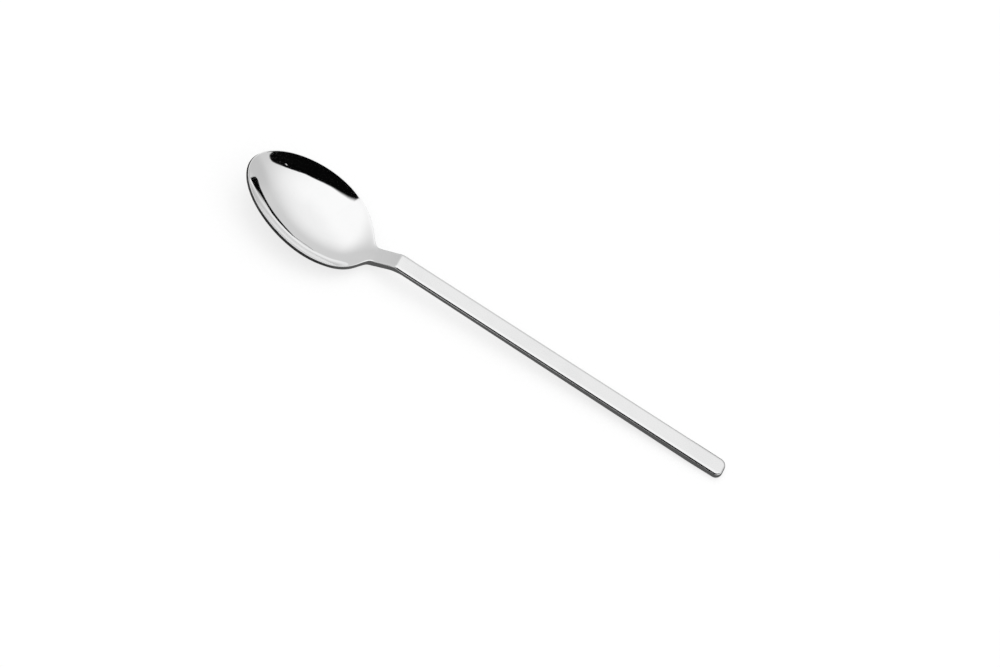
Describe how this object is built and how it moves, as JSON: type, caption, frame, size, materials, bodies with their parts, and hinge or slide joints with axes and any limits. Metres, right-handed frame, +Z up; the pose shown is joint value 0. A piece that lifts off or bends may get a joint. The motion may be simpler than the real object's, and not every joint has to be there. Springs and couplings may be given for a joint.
{
  "type": "dessert spoon",
  "caption": "Polished steel dessert spoon: dished egg-shaped bowl, short neck rising to a crease, slim straight flat bar handle with a squared end; lifts and carries soft food.",
  "frame": {"origin": "on the table, under the middle of the spoon's length and width, as it lies with the bowl's underside and the handle's end on the table", "axes": "+X from the tip of the bowl to the end of the handle, +Z up out of the hollow of the bowl, Y across"},
  "size_m": [0.185, 0.034, 0.0132],
  "materials": {
    "steel": "stainless steel, polished to a mirror"
  },
  "bodies": {
    "root": {"bowl": "steel", "neck": "steel", "handle": "steel"}
  },
  "joints": []
}
